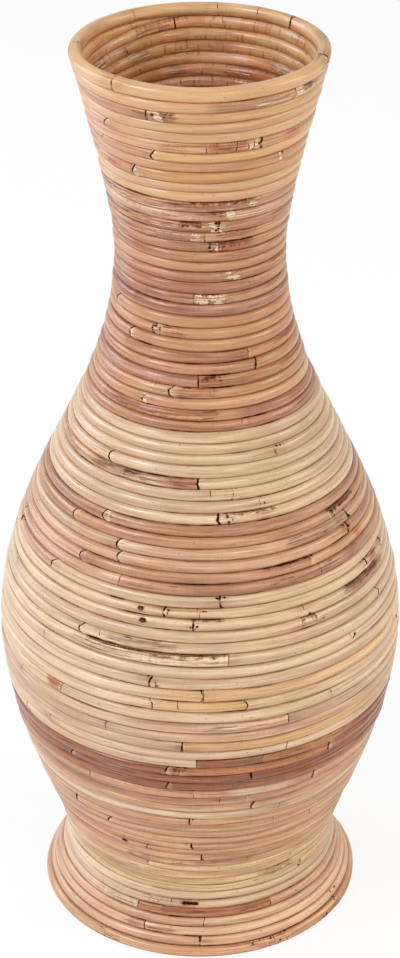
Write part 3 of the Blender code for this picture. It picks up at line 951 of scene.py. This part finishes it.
def add_patches(skin, patches, turns, along, seed):
    """Fray, stain and darken the patches of one cane."""
    for number, (kind, first, last) in enumerate(patches):
        first, last = np.interp([first, last], turns, along)
        patch_seed = seed * SEEDS_PER_CANE + FIRST_PATCH_SEED + number
        cover = patch_cover(skin.far, skin.facing, kind, first, last, patch_seed)
        if kind == "torn":
            rough = waves(skin.far, seed + 7, 6, 0.004)
            rough = rough * waves(skin.facing / math.tau, seed + 8, 4, 0.3)
            skin.lift += cover * (TORN_ROUGHNESS * rough + TORN_LIFT)
            skin.frayed = np.maximum(skin.frayed, cover)
        if kind in ("worn", "worn_inside"):
            skin.frayed = np.maximum(skin.frayed, WEAR * cover)
        if kind in ("stains", "worn_inside"):
            skin.mottled = np.maximum(skin.mottled, cover)
        if kind == "bark":
            skin.tone += (linear(SHADES["rust"]) - skin.tone) * BARK_COVER * cover[..., None]
            skin.mottled = np.maximum(skin.mottled, BARK_MOTTLING * cover)
        if kind == "sooty":
            skin.dark = np.maximum(skin.dark, DARK_TOP_AMOUNT * cover)


print("dirt reaches", SOIL_REACH * 1000, "mm from a mark")

# %% [markdown]
# A finished cane. The rings of the bent rod are pushed in and out by the marks and patches, and the three
# attributes of the grain are written for the finish. Canes are not quite round: pressed against their
# neighbours they are a little square. Each new piece takes its finish, rides on the vase's one body, and
# stands for its solid.

# %% Make a cane from its path
WOBBLE = 0.00022
BULGE = 0.025
SQUARENESS = 2.8
OPEN_EDGE = 0.87
OPEN_STEEPNESS = 12
END_CHAMFER = 0.045
GRAIN_STEP = 3.1


def set_piece(name, mesh, finish, node=None):
    """A new piece of the vase, in place of a solid if it has one."""
    mesh.materials.append(finish)
    piece = bpy.data.objects.new(name, mesh)
    scene.collection.objects.link(piece)
    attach(piece, "root")
    if node:
        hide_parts(node)
    return piece


def write_attribute(mesh, name, kind, values):
    """One value for each vertex, under a name that the finish reads."""
    layer = mesh.attributes.new(name, kind, "POINT")
    field = "vector" if kind == "FLOAT_VECTOR" else "color"
    layer.data.foreach_set(field, values.astype(np.float32).ravel())


def read_rings(mesh, places, out, up):
    """Vertices ring by ring, their directions from the middle, and the angle at which each one faces."""
    spots = np.empty(len(mesh.vertices) * 3, np.float32)
    mesh.vertices.foreach_get("co", spots)
    spots = spots.reshape(len(places), SIDES, 3).astype(float)
    spokes = spots - places[:, None, :]
    spokes /= np.linalg.norm(spokes, axis=2, keepdims=True)
    facing = np.arctan2((spokes * up[:, None, :]).sum(2), (spokes * out[:, None, :]).sum(2))
    return spots, spokes, facing


def make_cane(name, node, turns, path, cane_marks, patches, shade_at, seed):
    """One cane, bent, marked and coloured. Its path is radii, heights, leans and thickness at the turns."""
    radii, heights, leans, thickness = path[:4]
    half = thickness / 2
    radial, out, up = around(turns, leans)
    places = off_axis(radial, radii, heights)
    steps = np.linalg.norm(np.diff(places, axis=0), axis=1)
    along = np.concatenate([[0.0], np.cumsum(steps)])
    places = places + out * (WOBBLE * waves(along, seed, 5, 0.31))[:, None]
    mesh = bent_rods(name, [(places, half, leans)], SIDES)

    spots, spokes, facing = read_rings(mesh, places, out, up)
    far = np.repeat(along[:, None], SIDES, axis=1)
    skin = SimpleNamespace(far=far, facing=facing, dark=np.zeros_like(far), frayed=np.zeros_like(far))
    tone, mottling = shade_at(turns, along)
    skin.tone = np.repeat(tone[:, None, :], SIDES, axis=1)
    skin.mottled = np.repeat(mottling[:, None], SIDES, axis=1)
    bulge = half * BULGE * waves(along, seed + 1, 5, 0.25)
    skin.lift = bulge[:, None] * np.clip(np.cos(facing), 0, 1) ** 2
    corners = np.abs(np.cos(facing)) ** SQUARENESS + np.abs(np.sin(facing)) ** SQUARENESS
    skin.lift += half[:, None] * (corners ** (-1 / SQUARENESS) - 1)
    add_marks(skin, cane_marks, turns, along, seed)
    # Painted shade: the edges of a cane that face an open groove are darkened as the shade of the gap.
    for room, towards in zip(path[4:], (1, -1)):
        gap_shade = np.clip((towards * np.sin(facing) - OPEN_EDGE) * OPEN_STEEPNESS, 0, 1)
        skin.dark = np.maximum(skin.dark, room[:, None] * gap_shade)
    add_patches(skin, patches, turns, along, seed)

    spots += spokes * skin.lift[:, :, None]
    mesh.vertices.foreach_set("co", spots.ravel().astype(np.float32))
    tone = np.concatenate([skin.tone, np.ones_like(far)[..., None]], axis=-1)
    write_attribute(mesh, "tone", "FLOAT_COLOR", tone)
    # A cane of the lip or the foot has no inner side, so it counts as outer skin all round but below.
    outward = np.cos(facing) if path[4:] else np.maximum(np.abs(np.cos(facing)), np.sin(facing))
    flags = np.stack([skin.dark, skin.frayed, skin.mottled, 0.5 + 0.5 * outward], axis=-1)
    write_attribute(mesh, "marks", "FLOAT_COLOR", flags)
    across = half[:, None]
    grain = np.stack([far + GRAIN_STEP * seed, across * np.cos(facing), across * np.sin(facing)], axis=-1)
    write_attribute(mesh, "grain", "FLOAT_VECTOR", grain)
    close_ends(mesh, chamfer=float(thickness.min()) * END_CHAMFER)
    return set_piece(name, mesh, rattan, node)


print("a cane wobbles by", WOBBLE * 1000, "mm")

# %% [markdown]
# The wall. Its canes are cut where the solids' canes are, so that each solid has one cane to stand for
# it. Each cane takes the marks, patches and shades that lie between its two ends.

# %% Canes of the wall
JOINTS = (
    (0, 47), (4, 27), (9, 180), (13, 3), (16, 180), (19, -4), (22, -31), (24, 30), (26, -1), (28, 180),
    (30, 180), (33, 180), (35, -1), (38, 6.5), (38, 180), (41, -29), (43, -42), (44, 180), (47, -2),
    (50, 8), (53, 1), (56, 25), (58, -5), (60, -1), (62, 15), (63, 180), (66, 16), (67, 180), (69, -46),
    (72, -3), (74, 0.5), (76, -21), (79, 47), (82, -26), (82, 30), (84, -22), (85, 0),
)
BUTT_GAP = 0.0002
TIP = 0.012
CLEAR_OF_END = 0.004
SAME_PLACE = 1.6 / 360
SOFT_CHANGE = 0.010
SHARP_CHANGE = 0.0003
TINT_SPREAD = 0.03
HUE_SPREAD = 0.012


def patches_between(start, end):
    """The patches of one cane, as kind, first turn and last turn."""
    found = []
    for kind, places in PATCHES.items():
        for row, first, last in places:
            first, last = turn_of(row, first), turn_of(row, last)
            if first < end and last > start:
                found.append((kind, max(first, start), min(last, end)))
    return found


def end_kind(turn):
    """A joint looks like the mark that is listed there, and otherwise hardly shows."""
    nearest = int(np.abs(mark_turns - turn).argmin())
    return marks[nearest][1] if abs(mark_turns[nearest] - turn) < SAME_PLACE else "end"


def wall_shades(turns, along):
    """Tone and mottling along the spiral. A change is sharp at a mark, and otherwise takes a centimetre."""
    draw = np.random.default_rng(5)
    count = len(LENGTHS)
    tints = 1 + draw.uniform(-TINT_SPREAD, TINT_SPREAD, (count, 1))
    tints = tints + draw.uniform(-HUE_SPREAD, HUE_SPREAD, (count, 3))
    shades = np.array([linear(SHADES[name]) for name in length_names]) * tints
    amounts = np.array([MOTTLING.get(name, PLAIN_MOTTLING) for name in length_names])
    here = np.clip(np.searchsorted(length_turns, turns, side="right") - 1, 0, None)
    tone = shades[here]
    mottling = amounts[here]
    for i in range(1, count):
        change = length_turns[i]
        after = length_turns[i + 1] if i + 1 < count else ROWS + 2
        if turns[0] < change < turns[-1]:
            sharp = np.abs(mark_turns - change).min() < SAME_PLACE
            length = SHARP_CHANGE if sharp else SOFT_CHANGE
            share = np.clip((along - np.interp(change, turns, along)) / length + 0.5, 0, 1)
            near = (turns > length_turns[i - 1]) & (turns < after) & (np.abs(share - 0.5) < 0.5)
            tone[near] = shades[i - 1] + (shades[i] - shades[i - 1]) * share[near, None]
            mottling[near] = amounts[i - 1] + (amounts[i] - amounts[i - 1]) * share[near]
    return tone, mottling


ends = [TIP] + [turn_of(row, angle) for row, angle in JOINTS] + [ROWS + SCARF - TIP]
triangles = 0
for number, (start, end) in enumerate(zip(ends[:-1], ends[1:]), 1):
    girth = girth_at((start + end) / 2)
    start += BUTT_GAP / 2 / girth
    end -= BUTT_GAP / 2 / girth
    inside = [mark for mark in marks if start + CLEAR_OF_END < mark[0] < end - CLEAR_OF_END]
    inside += [(start, end_kind(start)), (end, end_kind(end))]
    patches = patches_between(start, end)
    turns = ring_turns(start, end, girth, inside, patches)
    name, node = f"rattan_wall_{number:02d}", f"wall_cane_{number:02d}"
    cane = make_cane(name, node, turns, spiral_at(turns), inside, patches, wall_shades, number)
    triangles += sum(len(face.vertices) - 2 for face in cane.data.polygons)
print(number, "canes in the wall,", triangles, "triangles")

# %% [markdown]
# The lip and the foot. Both are level rings of their own. The lip is four lengths of a thicker cane,
# whose joints show as dark lines; the foot is one length, rubbed flat where it stands.

# %% Lip and foot
LIP_JOINTS = (-92, -41, 75.5, 129, 268)
LIP_JOINT_KINDS = ("butt", "butt", "split", "split", "butt")
LIP_NODES = ("rim_cane_left", "rim_cane_front", "rim_cane_right", "rim_cane_back")
LIP_MARKS = ((100, "line"), (171, "line"), (215, "line"), (150, "line"))
LIP_SHADES = ("lip", "lip", "honey", "lip")
LIP_PATCHES = (
    ("stains", -90, -80), ("stains", 66, 75), ("stains", 120, 128), ("stains", 165, 176),
    ("torn", 72, 75), ("torn", 77, 79),
)
LIP_SWELL = 1.03
LIP_SEED = 60
FOOT_MARKS = (
    (-37, "line"), (20, "dots"), (24, "dots"), (28, "dots"), (33, "dots"), (53, "dots"), (61, "dots"),
    (110, "line"), (160, "line"),
)
FOOT_PATCHES = (("stains", 16, 38), ("stains", 48, 64), ("stains", -42, -30), ("stains", 120, 150))
FOOT_MOTTLING = 0.3
FOOT_SEED = 70
SHADE_DRIFT = 0.05


def one_shade(name, mottling):
    """The shades of a ring, as a function of the place along it."""
    def shade_at(turns, along):
        tone = np.repeat(linear(SHADES[name])[None, :], len(turns), axis=0)
        return tone * (1 + SHADE_DRIFT * waves(along, 17, 4, 0.2))[:, None], np.full(len(turns), mottling)
    return shade_at


def level_cane(name, node, fall, thickness, first, last, end_kinds, cane_marks, patches, shade_at, seed):
    """A cane of the lip or the foot, from one angle to another."""
    radius, height, lean = [float(value) for value in wall_at(fall)]
    girth = math.tau * radius
    start = turn_of(0, first) + BUTT_GAP / 2 / girth
    end = turn_of(0, last) - BUTT_GAP / 2 / girth
    inside = [(turn_of(0, angle), kind) for angle, kind in cane_marks if first < angle < last]
    inside += [(start, end_kinds[0]), (end, end_kinds[1])]
    here = [patch for patch in patches if first < patch[1] and patch[2] < last]
    here = [(kind, turn_of(0, low), turn_of(0, high)) for kind, low, high in here]
    turns = ring_turns(start, end, girth, inside, here)
    path = [np.full(len(turns), value) for value in (radius, height, lean, thickness)]
    return make_cane(name, node, turns, path, inside, here, shade_at, seed)


for number, node in enumerate(LIP_NODES):
    level_cane(
        node.replace("rim_cane", "rattan_lip"), node, 0.0, RIM_CANE * LIP_SWELL, LIP_JOINTS[number],
        LIP_JOINTS[number + 1], LIP_JOINT_KINDS[number : number + 2], LIP_MARKS, LIP_PATCHES,
        one_shade(LIP_SHADES[number], MOTTLING["lip"]), LIP_SEED + number,
    )
foot = level_cane(
    "rattan_foot", "foot_cane", wall_length, FOOT_CANE, -180, 180, ("end", "end"), FOOT_MARKS,
    FOOT_PATCHES, one_shade("tan", FOOT_MOTTLING), FOOT_SEED,
)
for vertex in foot.data.vertices:
    vertex.co.z = max(vertex.co.z, 0.0)
print("the lip has", len(LIP_NODES), "lengths and the foot one")

# %% [markdown]
# Loose fibres. At a torn place some fibres stand off the cane. They are thin curves that start on the
# skin, run along the cane and lift away from it, all made into one mesh. Their finish is two colours,
# mixed by noise, and the disc and the brads get theirs in the same way.

# %% Loose fibres
FIBRES_TO_A_PLACE = 9
FIBRE_RADIUS = 0.00016
FIBRE_TAPER = (1.2, 0.35)
FIBRE_POINTS = 5
FIBRE_SIDES = 6
FIBRE_REACH = (0.003, 0.008)
FIBRE_FACING = (-0.5, 0.9)
FIBRE_TWIST = (-0.35, 0.35)
FIBRE_LIFT = (0.0001, 0.0007)
LOOSE_BROWN = (0.42, 0.27, 0.14, 1.0)
LOOSE_PALE = (0.78, 0.61, 0.39, 1.0)


def two_colours(name, under, over, scale, detail, spread, rough):
    """A finish of two colours, mixed by noise on the piece. Also its shader and its noise."""
    material, tree, shader = new_finish(name)
    noise = stretched_noise(put("ShaderNodeTexCoord", tree=tree, output="Object"), scale, detail)
    feed(shader, "Base Color", mixed(noise.ramp(*spread), under, over))
    shader.inputs["Roughness"].default_value = rough
    return material, shader, noise


draw = np.random.default_rng(23)
share = np.linspace(0, 1, FIBRE_POINTS)
fibres = []
for row, first, last in TORN:
    girth = girth_at(turn_of(row, first))
    for _ in range(FIBRES_TO_A_PLACE):
        start = draw.uniform(turn_of(row, first), turn_of(row, last))
        turns = start + draw.uniform(*FIBRE_REACH) / girth * draw.choice([-1, 1]) * share
        radii, heights, leans, thickness = spiral_at(turns)[:4]
        radial, out, up = around(turns, leans)
        faces = draw.uniform(*FIBRE_FACING) + draw.uniform(*FIBRE_TWIST) * share
        lift = thickness / 2 + draw.uniform(*FIBRE_LIFT) * share**1.5
        aside = out * np.cos(faces)[:, None] + up * np.sin(faces)[:, None]
        places = off_axis(radial, radii, heights) + aside * lift[:, None]
        fibres.append((places, FIBRE_RADIUS * np.linspace(*FIBRE_TAPER, FIBRE_POINTS), leans))
fibre_mesh = bent_rods("loose_fibres", fibres, FIBRE_SIDES)
close_ends(fibre_mesh, chamfer=0)
bare = two_colours("bare_fibre", LOOSE_BROWN, LOOSE_PALE, (420, 420, 420), 2.0, (0.35, 0.65), 0.7)[0]
set_piece("loose_fibres", fibre_mesh, bare)
print(len(fibres), "loose fibres")

# %% [markdown]
# The bottom. A thin plywood disc sits inside the lowest rows. It shows from below and, darkly, down the
# neck. A cone with its edges rounded is enough; its edge slopes like the wall.

# %% Base disc
BASE_SEGMENTS = 96
BASE_SLOPE = 0.6
BASE_ROUNDING = 0.0006
SHARP_ANGLE = 35
PLY_RELIEF = 0.0003
PLY_BROWN = (0.42, 0.27, 0.14, 1.0)
PLY_PALE = (0.60, 0.43, 0.25, 1.0)


def mesh_from(name, shape):
    """A finished shape as a mesh."""
    mesh = bpy.data.meshes.new(name)
    shape.to_mesh(mesh)
    shape.free()
    return mesh


low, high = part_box("base_disc")
depth = high.z - low.z
disc = bmesh.new()
bmesh.ops.create_cone(
    disc, cap_ends=True, segments=BASE_SEGMENTS, radius1=high.x, radius2=high.x - depth * BASE_SLOPE,
    depth=depth,
)
bmesh.ops.translate(disc, verts=disc.verts, vec=(0, 0, (low.z + high.z) / 2))
brims = [edge for edge in disc.edges if abs(edge.verts[0].co.z - edge.verts[1].co.z) < 1e-6]
bmesh.ops.bevel(
    disc, geom=brims, offset=BASE_ROUNDING, segments=2, profile=0.5, affect="EDGES", material=-1
)
bmesh.ops.recalc_face_normals(disc, faces=disc.faces)
base_mesh = mesh_from("plywood_base", disc)
base_mesh.shade_smooth()
base_mesh.set_sharp_from_angle(angle=math.radians(SHARP_ANGLE))
plywood, shader, growth = two_colours(
    "plywood", PLY_BROWN, PLY_PALE, (9, 130, 900), 4.0, (0.3, 0.7), 0.7
)
feed(shader, "Normal", put("ShaderNodeBump", [(0, 0.3), (1, PLY_RELIEF), ("Height", growth)]))
set_piece("plywood_base", base_mesh, plywood, "base_disc")
print("the disc is", round(high.x * 2, 4), "m across")

# %% [markdown]
# Brads. Thin nails hold the ends of the canes. Only a few heads can be seen, dark with age and set a
# little below the skin. Each is a flattened ball, moved to its place in one mesh.

# %% Brads
BRADS = (
    (46, -18), (47, -17), (82, 43), (30, 100), (45, 150), (62, -130), (20, 120), (70, 100), (8, -140),
    (54, -110),
)
BRAD_RADIUS = 0.0010
BRAD_FLATNESS = 0.45
BRAD_SINK = 0.0004
LIP_BRAD = -72
BRAD_METAL = 0.4
IRON = (0.035, 0.022, 0.016, 1.0)
RUST = (0.16, 0.075, 0.035, 1.0)

heads = bmesh.new()


def add_head(turn, path):
    """A nail head on the outside of a cane."""
    radius, height, lean, thickness = path[:4]
    radial, out, _ = around(turn, lean)
    place = off_axis(radial, radius, height)[0] + out[0] * (thickness[0] / 2 - BRAD_SINK)
    tilt = Vector((0, 0, 1)).rotation_difference(Vector(out[0])).to_matrix()
    ball = bmesh.ops.create_uvsphere(heads, u_segments=14, v_segments=8, radius=BRAD_RADIUS)["verts"]
    bmesh.ops.scale(heads, verts=ball, vec=(1, 1, BRAD_FLATNESS))
    bmesh.ops.rotate(heads, verts=ball, matrix=tilt)
    bmesh.ops.translate(heads, verts=ball, vec=Vector(place))


for row, angle in BRADS:
    turn = np.array([turn_of(row, angle)])
    add_head(turn, spiral_at(turn))
lip_path = [np.array([float(value)]) for value in (*wall_at(0.0), RIM_CANE * LIP_SWELL)]
add_head(np.array([turn_of(0, LIP_BRAD)]), lip_path)
brad_mesh = mesh_from("brads", heads)
brad_mesh.shade_smooth()
iron, shader, _ = two_colours("dark_iron", IRON, RUST, (2600, 2600, 2600), 3.0, (0.0, 1.0), 0.5)
shader.inputs["Metallic"].default_value = BRAD_METAL
set_piece("brads", brad_mesh, iron)
print(len(BRADS) + 1, "brads")

# %% [markdown]
# Floor and background. A pale floor and an even white room keep the background plain. The floor glows a
# little for the camera alone, so that it reads as white paper and still holds the vase's shadow.

# %% Floor and background
FLOOR_SIZE = 6.0
FLOOR_DROP = 0.0003
FLOOR_GREY = 0.90
FLOOR_GLOW = 0.86
ROOM_FILL = 0.655
WHITE = (1.0, 1.0, 1.0, 1.0)
FILL_WHITE = (1.0, 1.0, 0.99, 1.0)

ground = bmesh.new()
bmesh.ops.create_grid(ground, x_segments=8, y_segments=8, size=FLOOR_SIZE)
bmesh.ops.translate(ground, verts=ground.verts, vec=(0, 0, -FLOOR_DROP))
floor_mesh = mesh_from("floor", ground)
floor = bpy.data.objects.new("floor", floor_mesh)
scene.collection.objects.link(floor)

paper, sheet, matt = new_finish("white_paper")
matt.inputs["Base Color"].default_value = (FLOOR_GREY, FLOOR_GREY, FLOOR_GREY, 1.0)
matt.inputs["Roughness"].default_value = 0.9
glow = put("ShaderNodeEmission", [(0, WHITE), (1, 1.0)], tree=sheet)
seen = put("ShaderNodeLightPath", tree=sheet, output="Is Camera Ray") * FLOOR_GLOW
both = put("ShaderNodeMixShader", [(0, seen), (1, Value(matt.outputs[0])), (2, glow)])
feed(sheet.nodes["Material Output"], 0, both)
floor_mesh.materials.append(paper)

room = bpy.data.worlds.new("white_room")
room.use_nodes = True
scene.world = room
air = room.node_tree
seen = put("ShaderNodeLightPath", tree=air, output="Is Camera Ray")
seen = seen + put("ShaderNodeLightPath", tree=air, output="Is Transmission Ray")
white = put("ShaderNodeBackground", [(0, WHITE), (1, 1.0)], tree=air)
fill = put("ShaderNodeBackground", [(0, FILL_WHITE), (1, ROOM_FILL)], tree=air)
both = put("ShaderNodeMixShader", [(0, seen.ramp(0.0, 1.0)), (1, fill), (2, white)])
feed(air.nodes["World Output"], 0, both)
print("the room gives", ROOM_FILL, "of the light")

# %% [markdown]
# Lamps. Two large soft lamps stand left and right of the camera and two more at the sides, a little
# behind the vase. Each one draws a soft line of shine along every cane, and the left ones are stronger.

# %% Lamps
LAMPS = (
    # name, angle from the front to the right, height angle, distance, size, watts, colour
    ("left_front", -54, 36, 2.5, 0.8, 23.0, (0.96, 0.99, 1.07)),
    ("right_front", 28, 34, 2.5, 0.6, 8.6, (1.0, 0.93, 0.80)),
    ("left_side", -112, 24, 2.3, 1.2, 17.5, (0.88, 0.98, 1.20)),
    ("right_side", 86, 26, 2.3, 1.0, 13.3, (1.0, 0.93, 0.80)),
)
LAMP_AIM = Vector((0.0, 0.0, 0.30))

for name, angle, rise, distance, size, watts, colour in LAMPS:
    light = bpy.data.lights.new(name, "AREA")
    light.shape = "SQUARE"
    light.size = size
    light.energy = watts
    light.color = colour
    level = distance * math.cos(math.radians(rise))
    away = Vector((level * math.sin(math.radians(angle)), -level * math.cos(math.radians(angle)), 0))
    away.z = distance * math.sin(math.radians(rise))
    lamp = bpy.data.objects.new(name, light)
    lamp.location = LAMP_AIM + away
    lamp.rotation_euler = (-away).to_track_quat("-Z", "Y").to_euler()
    scene.collection.objects.link(lamp)
print(len(LAMPS), "lamps")

# %% [markdown]
# Last, the colours are shown through the plain Standard view transform.

# %% View transform, and the end
scene.view_settings.view_transform = "Standard"
